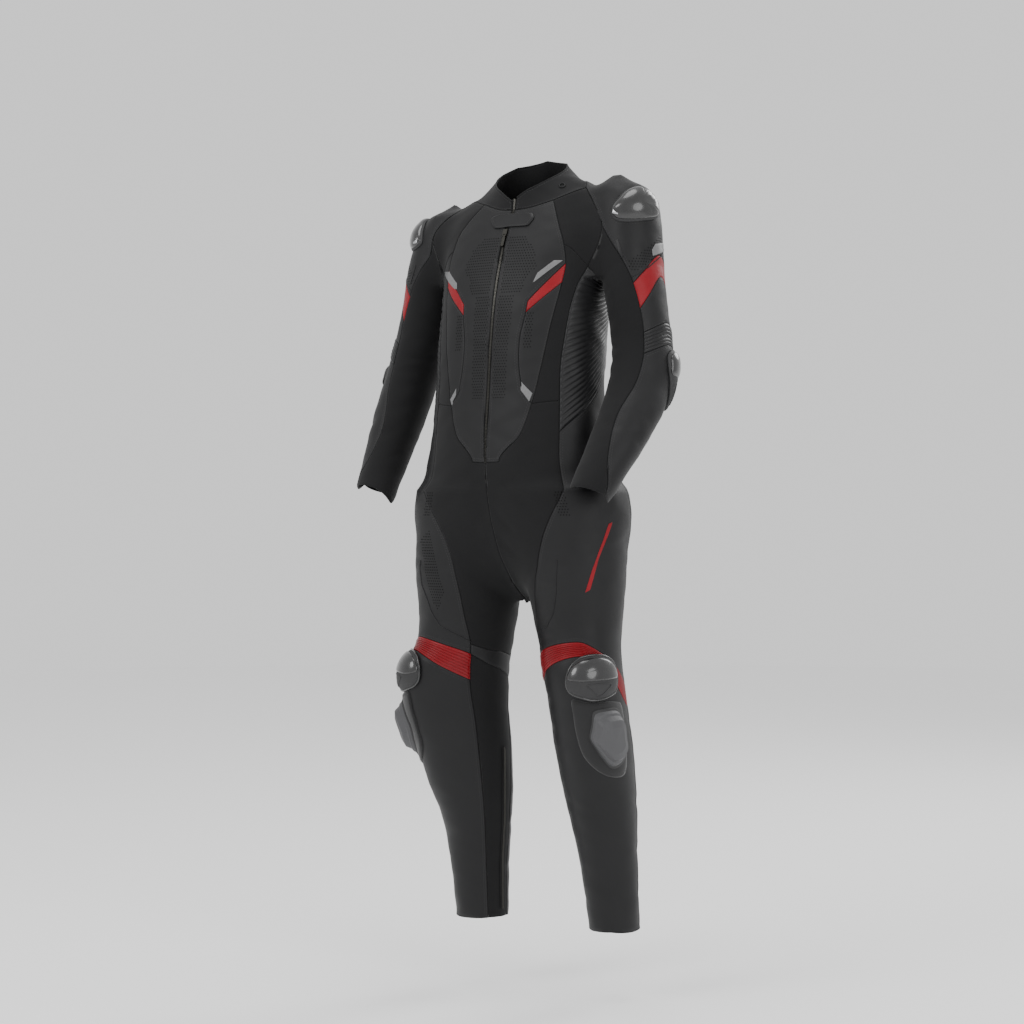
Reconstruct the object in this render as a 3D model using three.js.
import * as THREE from "three";

// Motorcycle race suit as it is worn: front to -Y, wearer's left to +X, up +Z, mm.
// The origin is the middle of the neck opening at shoulder height.
// Section tables: z, x, y of the middle, half width, depth to the front, depth to the back, turn in degrees
// and squareness of the outline.
const TORSO = [
  [-735, 0, -22, 50, 40, 50, 0, 2.0],
  [-690, 0, -30, 130, 80, 96, 0, 2.0],
  [-620, 0, -38, 196, 108, 124, -1.5, 2.2],
  [-540, -4, -40, 196, 116, 124, -3, 2.3],
  [-460, -6, -38, 178, 116, 114, -3, 2.3],
  [-380, -6, -34, 166, 116, 108, -1.5, 2.4],
  [-290, -5, -28, 163, 120, 112, 0, 2.4],
  [-200, -2, -20, 160, 121, 121, 1, 2.4],
  [-120, 0, -12, 166, 110, 118, 2, 2.3],
  [-60, 0, -6, 172, 88, 106, 2, 2.2],
  [-18, 8, -2, 152, 70, 96, 2, 2.1],
  [8, 20, 2, 118, 60, 86, 1, 2.0],
  [28, 17, 6, 90, 52, 78, 0, 2.0],
  [45, 8, 10, 70, 46, 70, 0, 2.0],
  [60, 0, 14, 50, 40, 56, 0, 2.0],
];
const LEG_LEFT = [
  [-1390, 146, 60, 48, 50, 52, 16, 2.0],
  [-1250, 142, 42, 56, 60, 62, 16, 2.0],
  [-1150, 138, 24, 66, 76, 72, 16, 2.1],
  [-1060, 134, 6, 72, 98, 78, 18, 2.1],
  [-960, 130, -16, 73, 112, 76, 20, 2.1],
  [-900, 125, -26, 74, 114, 80, 21, 2.1],
  [-850, 121, -31, 76, 98, 88, 22, 2.1],
  [-806, 119, -34, 82, 94, 96, 22, 2.1],
  [-720, 115, -38, 94, 102, 106, 20, 2.1],
  [-640, 112, -38, 98, 104, 112, 15, 2.2],
  [-560, 104, -38, 92, 100, 110, 10, 2.2],
];
const LEG_RIGHT = [
  [-1390, 146, 60, 48, 50, 52, 50, 2.0],
  [-1270, 143, 44, 54, 58, 60, 50, 2.0],
  [-1190, 139, 30, 62, 70, 68, 50, 2.1],
  [-1120, 136, 16, 68, 92, 74, 50, 2.1],
  [-1060, 134, 4, 72, 105, 76, 48, 2.1],
  [-960, 130, -16, 73, 127, 76, 44, 2.1],
  [-900, 127, -25, 75, 124, 80, 40, 2.1],
  [-850, 124, -31, 80, 100, 88, 36, 2.1],
  [-806, 122, -34, 88, 94, 96, 30, 2.1],
  [-720, 117, -38, 97, 102, 106, 22, 2.1],
  [-640, 112, -38, 98, 104, 112, 15, 2.2],
  [-560, 104, -38, 92, 100, 110, 10, 2.2],
];
const ARM_LEFT = [
  [-600, 201, -171, 40, 45, 43, 0, 2.0],
  [-537, 218, -139, 46, 51, 49, 0, 2.0],
  [-470, 233, -93, 54, 59, 57, 0, 2.0],
  [-411, 240, -49, 58, 66, 62, 0, 2.0],
  [-370, 240, -24, 58, 66, 64, 0, 2.0],
  [-322, 240, -12, 56, 62, 64, 0, 2.0],
  [-281, 236, -8, 55, 60, 62, 0, 2.0],
  [-207, 226, -8, 56, 64, 62, 0, 2.0],
  [-150, 216, -4, 58, 66, 64, 0, 2.0],
  [-100, 209, -1, 61, 66, 66, 0, 2.0],
  [-60, 204, 0, 62, 64, 65, 0, 2.0],
  [-20, 198, 1, 57, 58, 58, 0, 2.0],
  [4, 190, 2, 44, 46, 46, 0, 2.0],
  [16, 184, 2, 24, 28, 28, 0, 2.0],
];
const ARM_RIGHT = [
  [-600, 306, -96, 39, 43, 41, -10, 2.0],
  [-545, 304, -68, 42, 46, 44, -10, 2.0],
  [-488, 300, -40, 46, 52, 50, -10, 2.0],
  [-416, 290, -14, 52, 58, 56, -10, 2.0],
  [-345, 274, 2, 53, 58, 58, -10, 2.0],
  [-273, 252, 6, 53, 58, 60, -10, 2.0],
  [-207, 231, 4, 55, 62, 62, -10, 2.0],
  [-150, 215, 0, 57, 64, 64, -10, 2.0],
  [-100, 202, 0, 58, 64, 65, -8, 2.0],
  [-78, 196, 0, 56, 62, 63, -6, 2.0],
  [-48, 187, 1, 50, 55, 56, -4, 2.0],
  [-28, 180, 2, 39, 44, 44, 0, 2.0],
  [-17, 173, 2, 21, 26, 26, 0, 2.0],
];
const ARM_BLEND = 46;
const LEG_BLEND = 60;
const THIGH_BLEND = 26;
const ARMPIT_TOP = -165;
const ARMPIT_LOW = -190;
const ARM_LIFT = 150;
const END_SLOPE = 1.6;
const TINY = 1e-9;
const NEAR_AXIS = 0.05;

// Small vector functions on [x, y, z]
const add = (a, b, k = 1) => [a[0] + b[0] * k, a[1] + b[1] * k, a[2] + b[2] * k];
const sub = (a, b) => a.map((v, i) => v - b[i]);
const mix = (a, b, t) => a.map((v, i) => v + (b[i] - v) * t);
const dot = (a, b) => a[0] * b[0] + a[1] * b[1] + a[2] * b[2];
const mirror = (p, side) => [p[0] * side, p[1], p[2]];
const length = (a) => Math.hypot(a[0], a[1], a[2]);
const scale = (a, k) => a.map((v) => v * k);
const unit = (a) => scale(a, 1 / (length(a) || 1));
const cross = (a, b) => [a[1] * b[2] - a[2] * b[1], a[2] * b[0] - a[0] * b[2], a[0] * b[1] - a[1] * b[0]];
const clamp = (v, low, high) => Math.min(high, Math.max(low, v));
const smooth = (a, b, x) => {
  const t = clamp((x - a) / (b - a), 0, 1);
  return t * t * (3 - 2 * t);
};

// Smooth curve through rows of numbers, at knots
function curveSlopes(knots, rows) {
  const step = (i) => scale(sub(rows[i + 1], rows[i]), 1 / (knots[i + 1] - knots[i]));
  return rows.map((row, i) => {
    if (i === 0) return step(0);
    if (i === rows.length - 1) return step(i - 1);
    const before = knots[i] - knots[i - 1];
    const after = knots[i + 1] - knots[i];
    const w = after / (before + after);
    return mix(step(i), step(i - 1), w);
  });
}
function curveAt(knots, rows, slopes, i, t) {
  const h = knots[i + 1] - knots[i];
  const t2 = t * t;
  const t3 = t2 * t;
  return rows[i].map(
    (v, c) =>
      (2 * t3 - 3 * t2 + 1) * v +
      (t3 - 2 * t2 + t) * h * slopes[i][c] +
      (3 * t2 - 2 * t3) * rows[i + 1][c] +
      (t3 - t2) * h * slopes[i + 1][c],
  );
}
const readied = new Map();
function sectionAt(table, z) {
  if (!readied.has(table)) {
    const knots = table.map((row) => row[0]);
    readied.set(table, { knots, slopes: curveSlopes(knots, table) });
  }
  const { knots, slopes } = readied.get(table);
  const level = clamp(z, knots[0], knots[knots.length - 1]);
  let i = knots.findIndex((v) => v > level) - 1;
  if (i < 0) i = knots.length - 2;
  const t = (level - knots[i]) / (knots[i + 1] - knots[i]);
  return curveAt(knots, table, slopes, i, t);
}

// The form of the suit: each tube's distance, joined by smooth unions
function tubeField(table, side, p) {
  const [, cx, cy, wide, front, back, turn, square] = sectionAt(table, p[2]);
  const x = p[0] * side - cx;
  const y = p[1] - cy;
  const angle = (turn * Math.PI) / 180;
  const lx = x * Math.cos(angle) + y * Math.sin(angle);
  const ly = -x * Math.sin(angle) + y * Math.cos(angle);
  const depth = ly < 0 ? front : back;
  const rho = (Math.abs(lx / wide) ** square + Math.abs(ly / depth) ** square) ** (1 / square) + TINY;
  const radius = Math.hypot(lx, ly);
  const over = Math.max(p[2] - table[table.length - 1][0], 0) + Math.max(table[0][0] - p[2], 0);
  return (rho < NEAR_AXIS ? -wide : radius - radius / rho) + END_SLOPE * over;
}
function smoothMin(a, b, k) {
  const h = Math.max(0, 1 - Math.abs(a - b) / k);
  return Math.min(a, b) - (h * h * k) / 4;
}
const liftAt = (z) => (1 - smooth(ARMPIT_LOW, ARMPIT_TOP, z)) * ARM_LIFT;
function bodyField(p) {
  const legs = smoothMin(tubeField(LEG_LEFT, 1, p), tubeField(LEG_RIGHT, -1, p), THIGH_BLEND);
  const lift = liftAt(p[2]);
  let value = smoothMin(tubeField(TORSO, 1, p), legs, LEG_BLEND);
  value = smoothMin(value, tubeField(ARM_LEFT, 1, p) + lift, ARM_BLEND);
  return smoothMin(value, tubeField(ARM_RIGHT, -1, p) + lift, ARM_BLEND);
}
const armTable = (side) => (side > 0 ? ARM_LEFT : ARM_RIGHT);
const legTable = (side) => (side > 0 ? LEG_LEFT : LEG_RIGHT);
const armField = (side) => (p) =>
  smoothMin(tubeField(armTable(side), side, p), tubeField(TORSO, 1, p) + liftAt(p[2]), ARM_BLEND);

// Steps of the ray and of settling, mm, and the angle over which the front's turn fades
const RAY_STEP = 8;
const RAY_END = 330;
const HALVINGS = 18;
const SETTLE_ROUNDS = 7;
const SETTLE_MOST = 14;
const LEAST_SLOPE = 0.05;
const FRONT_TURN = 70;

// A chart point: the place where a level ray from a tube's middle leaves the form.
// The angle runs from the front, 0, over the outer side, 90.
function chartPoint(tube, side, angle, z) {
  const table = tube === "torso" ? TORSO : tube === "leg" ? legTable(side) : armTable(side);
  const field = tube === "arm" ? armField(side) : bodyField;
  const [, cx, cy, , , , turn] = sectionAt(table, z);
  const own = tube === "torso" ? 1 : side;
  const twist = tube === "torso" ? turn * clamp(1 - angle / FRONT_TURN, 0, 1) : turn * own;
  const w = ((angle * side + twist) * Math.PI) / 180;
  const inside = (r) => field([cx * own + Math.sin(w) * r, cy - Math.cos(w) * r, z]) < 0;
  let high = RAY_STEP;
  while (inside(high) && high < RAY_END) high += RAY_STEP;
  let low = high - RAY_STEP;
  for (let i = 0; i < HALVINGS; i++) {
    const r = (low + high) / 2;
    if (inside(r)) low = r;
    else high = r;
  }
  return [cx * own + Math.sin(w) * low, cy - Math.cos(w) * low, z];
}
function gradient(field, p) {
  const e = 0.5;
  return [0, 1, 2].map((i) => {
    const q = p.slice();
    q[i] += e;
    const r = p.slice();
    r[i] -= e;
    return (field(q) - field(r)) / (2 * e);
  });
}
function settle(field, p) {
  let q = p;
  for (let i = 0; i < SETTLE_ROUNDS; i++) {
    const g = gradient(field, q);
    const step = clamp(field(q) / Math.max(dot(g, g), LEAST_SLOPE), -SETTLE_MOST, SETTLE_MOST);
    q = add(q, g, -step);
  }
  return q;
}

// A grid runs smooth curves down its seams, then across them, and settles them on the form
const steps = (counts) => counts.reduce((a, b) => a + b, 0);
function curveThrough(points, counts) {
  const knots = [0];
  for (let i = 1; i < points.length; i++) knots.push(knots[i - 1] + Math.max(length(sub(points[i], points[i - 1])), 1));
  const slopes = curveSlopes(knots, points);
  const out = [];
  counts.forEach((count, i) => {
    for (let k = 0; k < count; k++) out.push(curveAt(knots, points, slopes, i, k / count));
  });
  out.push(points[points.length - 1]);
  return out;
}
const straightThrough = (points, counts) => [
  ...counts.flatMap((count, i) => Array.from({ length: count }, (_, k) => mix(points[i], points[i + 1], k / count))),
  points[points.length - 1],
];
// fixed: edges that another grid has settled, and the rows between which lines across go from curved to straight
function makeGrid(net, field, rowCounts, columnCounts, fixed = {}) {
  const seams = net[0].map((_, j) => {
    if (j === 0 && fixed.left) return fixed.left;
    if (j === net[0].length - 1 && fixed.right) return fixed.right;
    return curveThrough(net.map((row) => row[j]), rowCounts).map((p) => settle(field, p));
  });
  const rows = [];
  for (let i = 0; i <= steps(rowCounts); i++) {
    const controls = seams.map((seam) => seam[i]);
    const straight = straightThrough(controls, columnCounts);
    const share = fixed.straight ? clamp((i - fixed.straight[0]) / (fixed.straight[1] - fixed.straight[0]), 0, 1) : 0;
    const line = curveThrough(controls, columnCounts).map((p, c) => mix(p, straight[c], share));
    let k = 0;
    const held = new Set([0]);
    for (const count of columnCounts) held.add((k += count));
    rows.push(line.map((p, c) => (held.has(c) ? p : settle(field, p))));
  }
  if (fixed.top) rows[0] = fixed.top;
  return { rows, field };
}
const column = (grid, j, from = 0, to = grid.rows.length - 1) => grid.rows.slice(from, to + 1).map((row) => row[j]);

// Seam tables, angles in degrees and heights in mm on the torso's chart.
// Front: height at the middle, then angle and height at the bib's inner seam, at the bib's edge and at the
// flank seam, and the number of cells to the next row.
const FRONT = [
  [-36, 24, -32, 50, -19, 77, 4, 2],
  [-75, 24, -75, 54, -68, 71, -72, 2],
  [-125, 27, -135, 56, -108, 70, -148, 2],
  [-185, 31, -213, 57, -143, 66, -184, 1],
  [-212, 30, -234, 55, -178, 63, -212, 2],
  [-280, 27, -285, 49, -262, 59.5, -275, 2],
  [-335, 28, -335, 45, -330, 57.6, -335, 2],
  [-382, 31, -374, 39.5, -402, 57.8, -397, 2],
  [-462, 16, -462, 32, -458, 57.5, -454, 2],
  [-509, 7, -509, 14, -508, 56.5, -508, 2],
  [-560, 10, -560, 22, -560, 56, -560, 0],
];
// Back: angle and height at the flank seam and halfway, and height at the middle
const BACK = [
  [103, 4, 140, 22, 44],
  [109, -72, 140, -62, -45],
  [110, -148, 140, -138, -125],
  [116, -166, 142, -170, -172],
  [117, -184, 142, -194, -205],
  [118, -215, 142, -238, -260],
  [118, -245, 142, -282, -312],
  [118, -276, 142, -326, -365],
  [117, -304, 142, -372, -430],
  [106, -440, 140, -468, -495],
  [99, -560, 138, -560, -560],
];
// Flank: angle and height halfway between the two flank seams, from the armpit down
const FLANK = [
  [88, -192],
  [88, -208],
  [88, -248],
  [88, -290],
  [88, -336],
  [88, -380],
  [82, -470],
  [78, -560],
];
const ARMPIT = [163.5, 0, -175];
const FRONT_CELLS = [2, 2, 2];
const FLANK_CELLS = [3, 3];
const BACK_CELLS = [3, 3];
const BODY_CELLS = FRONT.map((row) => row[7]).slice(0, -1);
const rowIndex = (counts, control) => steps(counts.slice(0, control));

const middleFront = curveThrough(
  FRONT.map((row) => chartPoint("torso", 1, 0, row[0])),
  BODY_CELLS,
).map((p) => settle(bodyField, p));
const middleBack = curveThrough(
  BACK.map((row) => chartPoint("torso", 1, 180, row[4])),
  BODY_CELLS,
).map((p) => settle(bodyField, p));

// Legs, on the leg's chart: heights and angles at the inseam, a half-way line, the front seam, the knee
// line, the outer seam and the rear inner seam, and the number of cells to the next row
const LEG = [
  [null, -42, -600, -2, -600, 44, -600, 100, -600, 150, -600, 2],
  [-650, -42, -650, -20, -650, 38, -650, 100, -650, 152, -650, 3],
  [-742, -84, -742, -44, -742, 28, -742, 98, -742, 192, -742, 2],
  [-800, -90, -800, -57, -800, 18, -800, 95, -800, 198, -800, 2],
  [-866, -96, -860, -71, -850, 10, -818, 92, -872, 204, -878, 1],
  [-898, -97, -886, -73, -869, 8, -839, 90, -918, 204, -918, 2],
  [-940, -98, -930, -75, -918, 8, -864, 90, -962, 204, -955, 2],
  [-1010, -103, -1008, -85, -1002, 8, -988, 90, -1010, 206, -1010, 2],
  [-1095, -106, -1095, -91, -1095, 8, -1095, 92, -1095, 208, -1095, 2],
  [-1190, -108, -1190, -94, -1190, 6, -1190, 92, -1190, 210, -1190, 2],
  [-1290, -108, -1290, -95, -1290, 5, -1290, 92, -1290, 210, -1290, 2],
  [-1390, -108, -1390, -95, -1390, 5, -1390, 92, -1390, 210, -1390, 0],
];
const INSEAM = -121;
const LEG_CELLS = LEG.map((row) => row[11]).slice(0, -1);
const CROTCH = settle(bodyField, [0, -24, -760]);
const CROTCH_ROW = rowIndex(LEG_CELLS, 2);
const legMiddle = (spine, angle) =>
  curveThrough([spine[spine.length - 1], chartPoint("torso", 1, angle, LEG[1][0]), CROTCH], LEG_CELLS.slice(0, 2)).map(
    (p, i) => (i === 0 || i === CROTCH_ROW ? p : settle(bodyField, p)),
  );
const crotchFront = legMiddle(middleFront, 0);
const crotchBack = legMiddle(middleBack, 180);

// Sleeves, on the arm's chart: angle and height at the front seam, height at the outer line, and angle at
// the inner front line with its height, height at the inner line
const SLEEVE = [
  [-5, -106, -14, -42, -181, -193, 1],
  [8, -131, -62, -42, -197, -207, 2],
  [25, -183, -128, -42, -222, -232, 2],
  [31, -229, -168, -42, -252, -258, 2],
  [32, -274, -254, -44, -284, -288, 2],
  [30, -312, -294, -46, -316, -318, 1],
  [24, -350, -350, -48, -350, -350, 2],
  [6, -437, -437, -50, -437, -437, 2],
  [19, -489, -493, -50, -489, -489, 2],
  [66, -570, -584, -50, -556, -558, 0],
];
const RIGHT_CUFF = [66, -548, -556, -50, -568, -584, 0];
const RIDGE_LEFT = [
  [122, 4, 27],
  [152, 3, 22],
  [190, 2, 17],
];
const RIDGE_RIGHT = [
  [108, 4, 0],
  [146, 3, -8],
  [188, 2, -16],
];
// Flank seams from the collar to the armpit, before and behind the arm
const SEAM_TOPS = {
  1: { front: [[131, -27, 4], [182, -62, -73], [156, -66, -148]], back: [[127, 34, 3], [182, 60, -73], [156, 52, -148]] },
  "-1": { front: [[113, -28, -9], [182, -62, -73], [156, -66, -148]], back: [[110, 34, -11], [182, 60, -73], [156, 52, -148]] },
};
const OUTER_CELLS = [4, 4];
const INNER_CELLS = [2, 3, 3, 2];
const SHOULDER_ROWS = [1, 1, 1];
const SLEEVE_ROWS = SLEEVE.map((row) => row[6]).slice(0, -1);

const half = {};
for (const side of [1, -1]) {
  const body = (angle, z) => chartPoint("torso", side, angle, z);
  const seamTop = (way, i) => settle(bodyField, mirror(SEAM_TOPS[side][way][i], side));
  const front = makeGrid(
    FRONT.map((r, i) => [
      middleFront[rowIndex(BODY_CELLS, i)],
      body(r[1], r[2]),
      body(r[3], r[4]),
      i < 3 ? seamTop("front", i) : body(r[5], r[6]),
    ]),
    bodyField,
    BODY_CELLS,
    FRONT_CELLS,
    { left: middleFront, straight: [rowIndex(BODY_CELLS, 2), rowIndex(BODY_CELLS, 3)] },
  );
  const back = makeGrid(
    BACK.map((r, i) => [i < 3 ? seamTop("back", i) : body(r[0], r[1]), body(r[2], r[3]), middleBack[rowIndex(BODY_CELLS, i)]]),
    bodyField,
    BODY_CELLS,
    BACK_CELLS,
    { right: middleBack },
  );
  const armpitRow = rowIndex(BODY_CELLS, 2);
  const flankRows = BODY_CELLS.slice(2);
  const frontSeam = column(front, steps(FRONT_CELLS));
  const backSeam = column(back, 0);
  const armpit = mirror(ARMPIT, side);
  const arc = curveThrough([frontSeam[armpitRow], armpit, backSeam[armpitRow]], FLANK_CELLS);
  const flankNet = [null, ...FLANK].map((r, i) => [
    frontSeam[rowIndex(BODY_CELLS, i + 2)],
    r ? body(r[0], r[1]) : armpit,
    backSeam[rowIndex(BODY_CELLS, i + 2)],
  ]);
  const flankMiddle = curveThrough(flankNet.map((row) => row[1]), flankRows).map((p, i) =>
    i === 0 ? p : settle(bodyField, p),
  );
  const flank = makeGrid(flankNet, bodyField, flankRows, FLANK_CELLS, {
    left: frontSeam.slice(armpitRow),
    right: backSeam.slice(armpitRow),
  });
  flank.rows.forEach((row, i) => {
    const line = curveThrough([row[0], flankMiddle[i], row[row.length - 1]], FLANK_CELLS);
    flank.rows[i] = line.map((p, c) => (c === 0 || c === line.length - 1 || i === 0 ? p : settle(bodyField, p)));
    flank.rows[i][0] = row[0];
    flank.rows[i][line.length - 1] = row[row.length - 1];
  });
  flank.rows[0] = arc;

  const leg = (angle, z) => chartPoint("leg", side, angle, z);
  const hip = [
    ...front.rows[front.rows.length - 1],
    ...flank.rows[flank.rows.length - 1].slice(1),
    ...back.rows[back.rows.length - 1].slice(1),
  ];
  const hipCells = [4, 2, 3, 3, 3, 3];
  const legNet = LEG.map((r, i) => {
    let k = 0;
    if (i === 0) return [hip[0], ...hipCells.map((count) => hip[(k += count)])];
    const inner = i === 1 ? chartPoint("torso", 1, 0, r[0]) : i === 2 ? CROTCH : leg(INSEAM, r[0]);
    const rear = i === 1 ? chartPoint("torso", 1, 180, r[0]) : inner;
    return [inner, leg(r[1], r[2]), leg(r[3], r[4]), leg(r[5], r[6]), leg(r[7], r[8]), leg(r[9], r[10]), rear];
  });
  const inseam = curveThrough(legNet.slice(2).map((row) => row[0]), LEG_CELLS.slice(2)).map((p, i) =>
    i === 0 ? p : settle(bodyField, p),
  );
  const legGrid = makeGrid(legNet, bodyField, LEG_CELLS, hipCells, {
    left: [...crotchFront, ...inseam.slice(1)],
    right: [...crotchBack, ...inseam.slice(1)],
    top: hip,
  });

  const arm = (angle, z) => chartPoint("arm", side, angle, z);
  const field = armField(side);
  const capRow = rowIndex(BODY_CELLS, 1);
  const rows = SLEEVE.map((r, i) => (i === SLEEVE.length - 1 && side < 0 ? RIGHT_CUFF : r));
  const outerNet = [
    ...(side > 0 ? RIDGE_LEFT : RIDGE_RIGHT).map((ridge, i) => [
      frontSeam[(capRow / 2) * i],
      settle(field, mirror(ridge, side)),
      backSeam[(capRow / 2) * i],
    ]),
    ...rows.map((r) => [arm(r[0], r[1]), arm(90, r[2]), arm(180 - r[0], r[1])]),
  ];
  const outer = makeGrid(outerNet, field, [...SHOULDER_ROWS, ...SLEEVE_ROWS], OUTER_CELLS);
  for (let i = 0; i <= capRow; i++) {
    outer.rows[i][0] = frontSeam[i];
    outer.rows[i][outer.rows[i].length - 1] = backSeam[i];
  }
  const sleeveFront = column(outer, 0, capRow);
  const sleeveBack = column(outer, steps(OUTER_CELLS), capRow);
  const underarm = [
    ...frontSeam.slice(capRow, armpitRow + 1),
    ...arc.slice(1),
    ...backSeam.slice(capRow, armpitRow).reverse(),
  ];
  const innerNet = [
    [sleeveFront[0], frontSeam[armpitRow], armpit, backSeam[armpitRow], sleeveBack[0]],
    ...rows.map((r) => [arm(r[0], r[1]), arm(r[3], r[4]), arm(-90, r[5]), arm(-180 - r[3], r[4]), arm(180 - r[0], r[1])]),
  ];
  const inner = makeGrid(innerNet, field, [1, ...SLEEVE_ROWS], INNER_CELLS, {
    left: sleeveFront,
    right: sleeveBack,
    top: underarm,
  });
  half[side] = { front, back, flank, leg: legGrid, outer, inner };
}

// A panel is a set of grid cells. Its edge is drawn back from the seam, and its wall lies inside the form.
const SEAM_HALF = 0.15;
const RIB_HALF = 0.25;
const ZIP_HALF = 3.4;
const FOLD_GAP = 0.4;
const WALL = 2;
const STRAIGHT_EDGE = 0.03;
const MITRE_LIMIT = 3;
const group = new THREE.Group();
// Finish of each kind of piece: colour, roughness, metalness
const LEATHER = [0x323233, 0.52, 0];
const RED_LEATHER = [0xb11a2b, 0.42, 0];
const STRETCH = [0x1c1c1d, 0.85, 0];
const PLEATS = [0x29292a, 0.4, 0];
const GLOSS = [0x101011, 0.15, 0];
const METAL = [0xb4b4b6, 0.3, 0.9];
const FINISHES = {
  chevron: RED_LEATHER,
  arm_band: RED_LEATHER,
  knee_rib: RED_LEATHER,
  side_rib: PLEATS,
  elbow_rib: PLEATS,
  shoulder_strip: STRETCH,
  front_strip: STRETCH,
  front_stretch: STRETCH,
  calf_stretch: STRETCH,
  sleeve: STRETCH,
  collar: STRETCH,
  shoulder_cup: GLOSS,
  elbow_cup: GLOSS,
  knee_cup: GLOSS,
  knee_field: [0x0e0e0f, 0.95, 0],
  knee_slider: [0x3a3a3c, 0.55, 0],
  neck_tab: [0x1a1a1b, 0.6, 0],
  zip_main: [0x151516, 0.7, 0],
  calf_zip: [0x151516, 0.7, 0],
  zip_slider: METAL,
  pull_tab: METAL,
};
function finishOf(name) {
  const [color, roughness, metalness] = FINISHES[name.replace(/_[lr]$/, "")] ?? LEATHER;
  return new THREE.MeshStandardMaterial({ color, roughness, metalness });
}
function addMesh(name, points, faces) {
  const geometry = new THREE.BufferGeometry();
  geometry.setAttribute("position", new THREE.Float32BufferAttribute(points.flat(), 3));
  geometry.setIndex(faces.flat());
  const mesh = new THREE.Mesh(geometry, finishOf(name));
  mesh.name = name;
  group.add(mesh);
}
const keyOf = (p) => p.map((v) => Math.round(v * 1000)).join();

// Cells: grid, first and last row, first and last column
function quadsOf(pieces) {
  const index = new Map();
  const points = [];
  const normals = [];
  const folded = [];
  const quads = [];
  const at = (grid, i, j) => {
    const p = grid.rows[i][j];
    const key = keyOf(p);
    if (!index.has(key)) {
      index.set(key, points.length);
      points.push(p);
      const free = grid.plain && j > grid.free[0] && j < grid.free[1];
      normals.push(grid.normals ? grid.normals[i][j] : unit(gradient(free ? grid.plain : grid.field, p)));
      folded.push(Boolean(free && i === 0));
    }
    return index.get(key);
  };
  for (const [grid, top, bottom, left, right] of pieces)
    for (let i = top; i < bottom; i++)
      for (let j = left; j < right; j++) {
        const quad = [at(grid, i, j), at(grid, i + 1, j), at(grid, i + 1, j + 1), at(grid, i, j + 1)];
        quads.push(grid.turned ? quad.reverse() : quad);
      }
  return { points, normals, folded, quads };
}
function edgeLoops(quads) {
  const next = new Map();
  const seen = new Set();
  for (const q of quads) q.forEach((a, k) => seen.add(a + "," + q[(k + 1) % 4]));
  for (const q of quads)
    q.forEach((a, k) => {
      const b = q[(k + 1) % 4];
      if (!seen.has(b + "," + a)) next.set(a, b);
    });
  return next;
}
function drawBack(points, normals, next, gapOf) {
  const before = new Map([...next].map(([a, b]) => [b, a]));
  const moved = points.map((p) => p);
  for (const [a, b] of next) {
    const z = before.get(a);
    const inward = (from, to) => unit(cross(normals[a], unit(sub(points[to], points[from]))));
    const m1 = inward(z, a);
    const m2 = inward(a, b);
    const g1 = gapOf(points[z], points[a]);
    const g2 = gapOf(points[a], points[b]);
    const c = dot(m1, m2);
    let move;
    if (1 - c * c < STRAIGHT_EDGE) move = scale(unit(add(m1, m2)), Math.max(g1, g2));
    else move = add(scale(m1, (g1 - c * g2) / (1 - c * c)), m2, (g2 - c * g1) / (1 - c * c));
    const limit = Math.max(g1, g2) * MITRE_LIMIT;
    if (length(move) > limit) move = scale(unit(move), limit);
    moved[a] = add(points[a], move);
  }
  return moved;
}
const zipKeys = new Set();
const zipGap = (p, q) => (zipKeys.has(keyOf(p)) && zipKeys.has(keyOf(q)) ? ZIP_HALF : SEAM_HALF);

function closeWall(name, points, outer, inner, quads, next) {
  const n = outer.length;
  const faces = [];
  for (const [a, b, c, d] of quads) {
    faces.push([a, b, c], [a, c, d]);
    faces.push([n + a, n + c, n + b], [n + a, n + d, n + c]);
  }
  for (const [a, b] of next) {
    if (keyOf(points[a]) < keyOf(points[b])) faces.push([b, a, n + b], [a, n + a, n + b]);
    else faces.push([b, a, n + a], [b, n + a, n + b]);
  }
  addMesh(name, [...outer, ...inner], faces);
}
function panel(name, pieces) {
  const { points, normals, folded, quads } = quadsOf(pieces);
  const next = edgeLoops(quads);
  const outer = drawBack(points, normals, next, zipGap).map((p, i) => (folded[i] ? add(p, normals[i], -FOLD_GAP) : p));
  const inner = outer.map((p, i) => add(p, normals[i], -WALL));
  closeWall(name, points, outer, inner, quads, next);
}

// A ribbed panel has finer rows between the same edges, raised in its outer points
function ribbed(name, grid, top, bottom, left, right, ribs, height) {
  const base = [];
  for (let i = top; i <= bottom; i++) base.push(grid.rows[i].slice(left, right + 1));
  const middle = base[0].length >> 1;
  const run = [0];
  for (let i = 1; i < base.length; i++) run.push(run[i - 1] + length(sub(base[i][middle], base[i - 1][middle])));
  const rows = [];
  const rise = [];
  for (let k = 0; k <= ribs * 2; k++) {
    const at = (run[run.length - 1] * k) / (ribs * 2);
    let i = run.findIndex((v) => v > at + 1e-9) - 1;
    if (i < 0) i = run.length - 2;
    const t = (at - run[i]) / (run[i + 1] - run[i]);
    rows.push(base[i].map((p, j) => mix(p, base[i + 1][j], t)));
    rise.push(k % 2 ? height : 0);
  }
  const fine = { ...grid, rows, free: grid.free?.map((j) => j - left) };
  const { points, normals, folded, quads } = quadsOf([[fine, 0, ribs * 2, 0, right - left]]);
  const lift = new Map();
  rows.forEach((row, k) => row.forEach((p) => lift.set(keyOf(p), rise[k])));
  const next = edgeLoops(quads);
  const flat = drawBack(points, normals, next, () => RIB_HALF).map((p, i) => (folded[i] ? add(p, normals[i], -FOLD_GAP) : p));
  const outer = flat.map((p, i) => add(p, normals[i], lift.get(keyOf(points[i]))));
  const inner = flat.map((p, i) => add(p, normals[i], -WALL));
  closeWall(name, points, outer, inner, quads, next);
}

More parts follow.
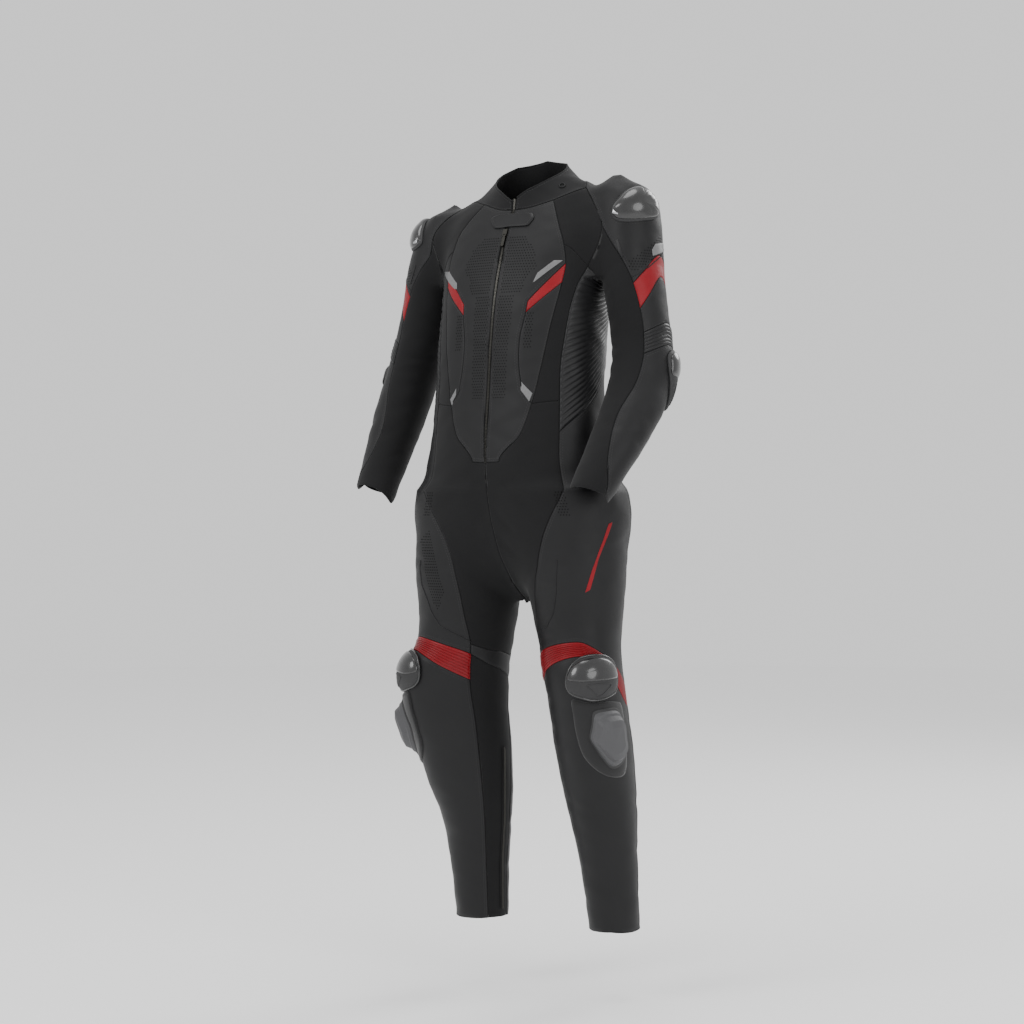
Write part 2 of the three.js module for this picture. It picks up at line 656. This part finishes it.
// A pad lies on the panels: rings round a middle point, in the plane there, settled on the form
function smoothLoop(outline, count) {
  const n = outline.length;
  const out = [];
  for (let k = 0; k < count; k++) {
    const at = (k * n) / count;
    const i = Math.floor(at);
    const t = at - i;
    const p = [-1, 0, 1, 2].map((d) => outline[(i + d + n) % n]);
    out.push(
      [0, 1].map(
        (c) =>
          0.5 *
          (2 * p[1][c] +
            (p[2][c] - p[0][c]) * t +
            (2 * p[0][c] - 5 * p[1][c] + 4 * p[2][c] - p[3][c]) * t * t +
            (3 * p[1][c] - p[0][c] - 3 * p[2][c] + p[3][c]) * t * t * t),
      ),
    );
  }
  return out;
}
const SPOKES = 20;
const ARM_SPOKES = 18;
const TAB_SPOKES = 14;
function pad(name, field, middle, side, outline, base, rings, spokes = SPOKES) {
  const out = unit(gradient(field, middle));
  const across = scale(unit(cross([0, 0, 1], out)), side);
  const up = unit(cross(out, scale(across, side)));
  const loop = smoothLoop(outline, spokes);
  const turn = loop.reduce((sum, p, k) => {
    const q = loop[(k + 1) % spokes];
    return sum + p[0] * q[1] - p[1] * q[0];
  }, 0);
  if (turn * side < 0) loop.reverse();
  const place = (u, v) => settle(field, add(add(middle, across, u), up, v));
  const bottom = [];
  const topside = [];
  const put = (u, v, height) => {
    const p = place(u, v);
    const n = unit(gradient(field, p));
    bottom.push(add(p, n, base));
    topside.push(add(p, n, base + height));
  };
  put(0, 0, rings[0][1]);
  for (const [t, height] of rings.slice(1)) for (const [u, v] of loop) put(u * t, v * t, height);
  const n = topside.length;
  const faces = [];
  const ring = (r, k) => 1 + r * spokes + (k % spokes);
  for (let k = 0; k < spokes; k++) {
    faces.push([0, ring(0, k), ring(0, k + 1)]);
    faces.push([n, n + ring(0, k + 1), n + ring(0, k)]);
    for (let r = 0; r < rings.length - 2; r++) {
      const [a, b, c, d] = [ring(r, k), ring(r + 1, k), ring(r + 1, k + 1), ring(r, k + 1)];
      faces.push([a, b, c], [a, c, d]);
      faces.push([n + a, n + c, n + b], [n + a, n + d, n + c]);
    }
    const last = rings.length - 2;
    const [a, b] = [ring(last, k), ring(last, k + 1)];
    faces.push([a, n + a, n + b], [a, n + b, b]);
  }
  addMesh(name, [...topside, ...bottom], faces);
}

// Outlines of what lies on the panels: across to the outer side and up, mm
const SHOULDER_CUP = [
  [-84, -12], [-70, 4], [-40, 24], [-16, 40], [8, 48], [32, 43], [50, 26], [59, 4], [50, -16], [22, -26],
  [-20, -32], [-58, -27],
];
const ELBOW_CUP = [
  [-30, 38], [-6, 48], [22, 44], [38, 22], [36, -16], [20, -54], [-4, -72], [-22, -58], [-26, -14], [-32, 16],
];
const KNEE_CUP = [
  [-76, -22], [-68, 4], [-48, 28], [-24, 39], [4, 42], [34, 38], [58, 24], [68, 0], [60, -24], [36, -35],
  [2, -42], [-28, -38], [-60, -34],
];
const KNEE_FIELD = [
  [-82, 66], [-76, 34], [-62, -6], [-42, -38], [-12, -60], [24, -76], [58, -76], [72, -52], [74, 4], [70, 58],
  [36, 68], [-30, 68],
];
const KNEE_SLIDER = [
  [-46, 54], [-20, 60], [10, 58], [26, 40], [34, 4], [42, -28], [30, -48], [8, -54], [-14, -36], [-36, -14],
  [-50, 2], [-48, 28],
];
// Rings of a pad: share of the outline and height, mm
const CUP_RINGS = [
  [0, 14], [0.5, 13], [0.84, 8], [1, 3],
];
const FIELD_RINGS = [
  [0, 1.5], [0.38, 1.5], [0.72, 1.5], [1, 1.5],
];
const SLIDER_RINGS = [
  [0, 22], [0.5, 21], [0.7, 18], [0.8, 7], [1, 3],
];
// How far each kind of pad lies off the panels
const PAD_BASE = 1;
const SHOULDER_CUP_BASE = 1.8;
const FIELD_BASE = { 1: 2.1, "-1": 1.2 };
const KNEE_CUP_BASE = { 1: 2.8, "-1": 0.9 };
const SLIDER_BASE = { 1: 5.5, "-1": 4.6 };
// Angle and height of the middle of each pad, on the wearer's left and right
const PLACES = {
  shoulder_cup: { 1: [52, -38], "-1": [76, -62] },
  elbow_cup: { 1: [116, -350], "-1": [116, -350] },
  knee_cup: { 1: [17, -902], "-1": [3, -902] },
  knee_field: { 1: [20, -1014], "-1": [8, -1014] },
  knee_slider: { 1: [29, -1018], "-1": [13, -1018] },
};
const CALF_ZIP = { angle: -132, top: -1052, bottom: -1372, half: 5, thick: 1.4, cells: 8 };

// Rows of the body, leg and sleeve patterns
const B = (control) => rowIndex(BODY_CELLS, control);
const L = (control) => rowIndex(LEG_CELLS, control);
const S = (control) => rowIndex([...SHOULDER_ROWS, ...SLEEVE_ROWS], control);
const END = B(10);
for (const p of middleFront.slice(0, B(9) + 1)) zipKeys.add(keyOf(p));
const flankOf = (control) => B(control) - B(2);
for (const side of [1, -1]) {
  const tag = side > 0 ? "_l" : "_r";
  const { front, back, flank, leg, outer, inner } = half[side];
  for (const grid of [front, back, flank, leg, outer]) grid.turned = side < 0;
  inner.turned = side > 0;
  inner.plain = (p) => tubeField(armTable(side), side, p);
  inner.free = [2, 8];
  flank.plain = (p) => tubeField(TORSO, 1, p);
  flank.free = [0, 6];

  panel("bib_centre" + tag, [
    [front, 0, B(9), 0, 2],
    [front, 0, B(3), 2, 4],
    [front, B(7), B(9), 2, 4],
  ]);
  panel("chevron" + tag, [[front, B(3), B(4), 2, 4]]);
  panel("bib_side" + tag, [[front, B(4), B(7), 2, 4]]);
  panel("shoulder_strip" + tag, [[front, 0, B(2), 4, 6]]);
  panel("front_strip" + tag, [[front, B(2), B(7), 4, 6]]);
  panel("front_stretch" + tag, [
    [front, B(7), END, 4, 6],
    [front, B(9), END, 0, 4],
    [leg, 0, L(4), 0, 6],
    [leg, L(2), L(4), 15, 18],
  ]);
  ribbed("side_rib" + tag, flank, 0, flankOf(8), 0, 6, 24, 1.6);
  panel("thigh" + tag, [
    [flank, flankOf(8), flankOf(10), 0, 6],
    [leg, 0, L(5), 6, 12],
  ]);
  panel("seat" + tag, [
    [back, B(8), END, 0, 6],
    [leg, 0, L(5), 12, 15],
    [leg, 0, L(2), 15, 18],
  ]);
  panel("knee_band" + tag, [
    [leg, L(4), L(5), 0, 6],
    [leg, L(4), L(5), 15, 18],
  ]);
  panel("calf_stretch" + tag, [
    [leg, L(5), L(11), 0, 6],
    [leg, L(5), L(11), 15, 18],
  ]);
  panel("calf_back" + tag, [[leg, L(5), L(11), 12, 15]]);
  ribbed("knee_rib" + tag, leg, L(5), L(6), 6, 12, 8, 2);
  panel("shin" + tag, [[leg, L(6), L(11), 6, 12]]);
  panel("shoulder" + tag, [[outer, 0, S(5), 0, 8]]);
  panel("arm_band" + tag, [[outer, S(5), S(6), 0, 8]]);
  panel("upper_arm" + tag, [[outer, S(6), S(7), 0, 8]]);
  ribbed("elbow_rib" + tag, outer, S(7), S(8), 0, 8, 6, 2);
  panel("forearm" + tag, [[outer, S(8), S(12), 0, 8]]);
  panel("sleeve" + tag, [[inner, 0, S(12) - 2, 0, 10]]);

  const armPad = (kind, outline, base, rings) =>
    pad(kind + tag, armField(side), chartPoint("arm", side, ...PLACES[kind][side]), side, outline, base, rings, ARM_SPOKES);
  const legPad = (kind, outline, base, rings) =>
    pad(kind + tag, bodyField, chartPoint("leg", side, ...PLACES[kind][side]), side, outline, base, rings);
  armPad("shoulder_cup", SHOULDER_CUP, SHOULDER_CUP_BASE, CUP_RINGS);
  armPad("elbow_cup", ELBOW_CUP, PAD_BASE, CUP_RINGS);
  legPad("knee_cup", KNEE_CUP, KNEE_CUP_BASE[side], CUP_RINGS);
  legPad("knee_field", KNEE_FIELD, FIELD_BASE[side], FIELD_RINGS);
  legPad("knee_slider", KNEE_SLIDER, SLIDER_BASE[side], SLIDER_RINGS);
}
panel("back", [
  [half[1].back, 0, B(8), 0, 6],
  [half[-1].back, 0, B(8), 0, 6],
]);

// Collar: a sloping stand from the neck seam to its own top edge, open over the zip
// Top edge: angle from the front, distance from the middle, height
const COLLAR_MIDDLE = [0, 8];
const COLLAR_TOP = [
  [0, 86, -18],
  [20, 82, 2],
  [45, 76, 20],
  [60, 72, 30],
  [90, 68, 48],
  [120, 64, 64],
  [180, 54, 76],
];
const COLLAR_ROWS = 3;
const COLLAR_GAP = 4.2;
const COLLAR_SLIDE = 0.4;
const COLLAR_REACH = 0.85;
const COLLAR_RISE = 1.2;
const neckSeam = (side) => [
  ...half[side].front.rows[0],
  ...half[side].outer.rows[0].slice(1),
  ...half[side].back.rows[0].slice(1),
];
const base = [...neckSeam(1), ...neckSeam(-1).reverse().slice(1)];
const last = base.length - 1;
base[0] = add(base[0], unit(sub(base[1], base[0])), COLLAR_GAP);
base[last] = add(base[last], unit(sub(base[last - 1], base[last])), COLLAR_GAP);
function collarTop(p, k) {
  const angle = Math.atan2(p[0] - COLLAR_MIDDLE[0], COLLAR_MIDDLE[1] - p[1]);
  const turn = (Math.abs(angle) * 180) / Math.PI;
  let i = COLLAR_TOP.findIndex((row) => row[0] > turn) - 1;
  if (i < 0) i = COLLAR_TOP.length - 2;
  const t = (turn - COLLAR_TOP[i][0]) / (COLLAR_TOP[i + 1][0] - COLLAR_TOP[i][0]);
  const [, reach, z] = mix(COLLAR_TOP[i], COLLAR_TOP[i + 1], t);
  const slide = k === 0 || k === last ? Math.sign(p[0]) * COLLAR_SLIDE : 0;
  return [
    COLLAR_MIDDLE[0] + Math.sin(angle) * reach + slide,
    COLLAR_MIDDLE[1] - Math.cos(angle) * reach,
    z,
  ];
}
const tops = base.map(collarTop);
const collarRows = [];
for (let r = 0; r <= COLLAR_ROWS; r++) {
  const t = 1 - r / COLLAR_ROWS;
  collarRows.push(
    base.map((p, k) => {
      const flat = mix(p, tops[k], t ** COLLAR_REACH);
      return [flat[0], flat[1], p[2] + (tops[k][2] - p[2]) * t ** COLLAR_RISE];
    }),
  );
}
const collarNormals = collarRows.map((row, i) =>
  row.map((p, j) => {
    if (i === COLLAR_ROWS) return unit(gradient(bodyField, p));
    const down = sub(collarRows[Math.min(i + 1, COLLAR_ROWS)][j], collarRows[Math.max(i - 1, 0)][j]);
    const along = sub(row[Math.min(j + 1, last)], row[Math.max(j - 1, 0)]);
    return unit(cross(down, along));
  }),
);
const collar = { rows: collarRows, normals: collarNormals, turned: false };
panel("collar", [[collar, 0, COLLAR_ROWS, 0, last]]);

// A strip follows a line on the form
function strip(name, path, normals, halfWide, low, thick) {
  const points = [];
  const faces = [];
  path.forEach((p, i) => {
    const along = unit(sub(path[Math.min(i + 1, path.length - 1)], path[Math.max(i - 1, 0)]));
    const across = unit(cross(normals[i], along));
    for (const [u, h] of [[-halfWide, low], [halfWide, low], [halfWide, low + thick], [-halfWide, low + thick]])
      points.push(add(add(p, across, u), normals[i], h));
  });
  for (let i = 0; i + 1 < path.length; i++)
    for (let k = 0; k < 4; k++) {
      const [a, b] = [i * 4 + k, i * 4 + ((k + 1) % 4)];
      faces.push([a, b + 4, a + 4], [a, b, b + 4]);
    }
  const end = (path.length - 1) * 4;
  faces.push([0, 2, 1], [0, 3, 2], [end, end + 1, end + 2], [end, end + 2, end + 3]);
  addMesh(name, points, faces);
}
const ZIP_TAPE = { half: 3.1, low: -2, thick: 1.5, end: 0.4 };
const collarMiddle = collarRows.map((row, i) => scale(add(row[0], row[last]), 0.5)).slice(0, -1);
const collarOut = collarNormals.map((row) => unit([0, row[0][1], row[0][2]])).slice(0, -1);
const zipLine = middleFront.slice(0, B(9) + 1);
zipLine[B(9)] = add(zipLine[B(9)], unit(sub(zipLine[B(9) - 1], zipLine[B(9)])), ZIP_TAPE.end);
strip(
  "zip_main",
  [...collarMiddle, ...zipLine],
  [...collarOut, ...zipLine.map((p) => unit(gradient(bodyField, p)))],
  ZIP_TAPE.half,
  ZIP_TAPE.low,
  ZIP_TAPE.thick,
);
for (const side of [1, -1]) {
  const path = [];
  for (let k = 0; k <= CALF_ZIP.cells; k++)
    path.push(
      chartPoint("leg", side, CALF_ZIP.angle, CALF_ZIP.top + ((CALF_ZIP.bottom - CALF_ZIP.top) * k) / CALF_ZIP.cells),
    );
  strip(
    side > 0 ? "calf_zip_l" : "calf_zip_r",
    path,
    path.map((p) => unit(gradient(bodyField, p))),
    CALF_ZIP.half,
    PAD_BASE,
    CALF_ZIP.thick,
  );
}

// Neck tab over the top of the zip, slider under it and pull tab on a hinge
const NECK_TAB = [
  [-44, 6], [-40, 12], [-30, 15], [4, 15], [36, 15], [44, 10], [46, 3], [42, -6], [34, -13], [4, -14], [-28, -15],
  [-38, -6],
];
const NECK_TAB_AT = [3, -57];
const NECK_TAB_RINGS = [
  [0, 2.5], [0.5, 2.5], [1, 2],
];
pad("neck_tab", bodyField, chartPoint("torso", 1, ...NECK_TAB_AT), 1, NECK_TAB, PAD_BASE, NECK_TAB_RINGS, TAB_SPOKES);
function middleFrame(z) {
  const i = middleFront.findIndex((p) => p[2] < z);
  const [a, b] = [middleFront[i - 1], middleFront[i]];
  const at = mix(a, b, (z - a[2]) / (b[2] - a[2]));
  const out = unit(gradient(bodyField, at));
  const down = unit(sub(b, a));
  const across = unit(cross(out, down));
  return { at, out: unit(cross(down, across)), down, across };
}
function plate(name, frame, outline, low, high) {
  const shape = new THREE.Shape(outline.map(([x, y]) => new THREE.Vector2(x, -y)));
  const geometry = new THREE.ExtrudeGeometry(shape, { depth: high - low, bevelEnabled: false });
  const mesh = new THREE.Mesh(geometry, finishOf(name));
  const basis = new THREE.Matrix4().makeBasis(
    new THREE.Vector3(...frame.across),
    new THREE.Vector3(...scale(frame.down, -1)),
    new THREE.Vector3(...frame.out),
  );
  basis.setPosition(...add(frame.at, frame.out, low));
  geometry.applyMatrix4(basis);
  mesh.name = name;
  group.add(mesh);
}
const SLIDER_Z = -75;
const SLIDER_BODY = { low: 0.9, high: 3.9 };
const SLIDER_OUTLINE = [
  [-4.5, 0], [4.5, 0], [4.5, 9], [3.6, 15], [2.3, 15], [2.3, 11], [-2.3, 11], [-2.3, 15], [-3.6, 15], [-4.5, 9],
];
const TAB_BODY = { low: 1.7, high: 3.3 };
const TAB_OUTLINE = [
  [-1.9, 12.2], [-1.2, 11.7], [1.2, 11.7], [1.9, 12.2], [1.9, 15.6], [3.1, 18], [3.1, 34], [2, 36.4],
  [-2, 36.4], [-3.1, 34], [-3.1, 18], [-1.9, 15.6],
];
const slider = middleFrame(SLIDER_Z);
plate("zip_slider", slider, SLIDER_OUTLINE, SLIDER_BODY.low, SLIDER_BODY.high);
plate("pull_tab", slider, TAB_OUTLINE, TAB_BODY.low, TAB_BODY.high);
export default group;
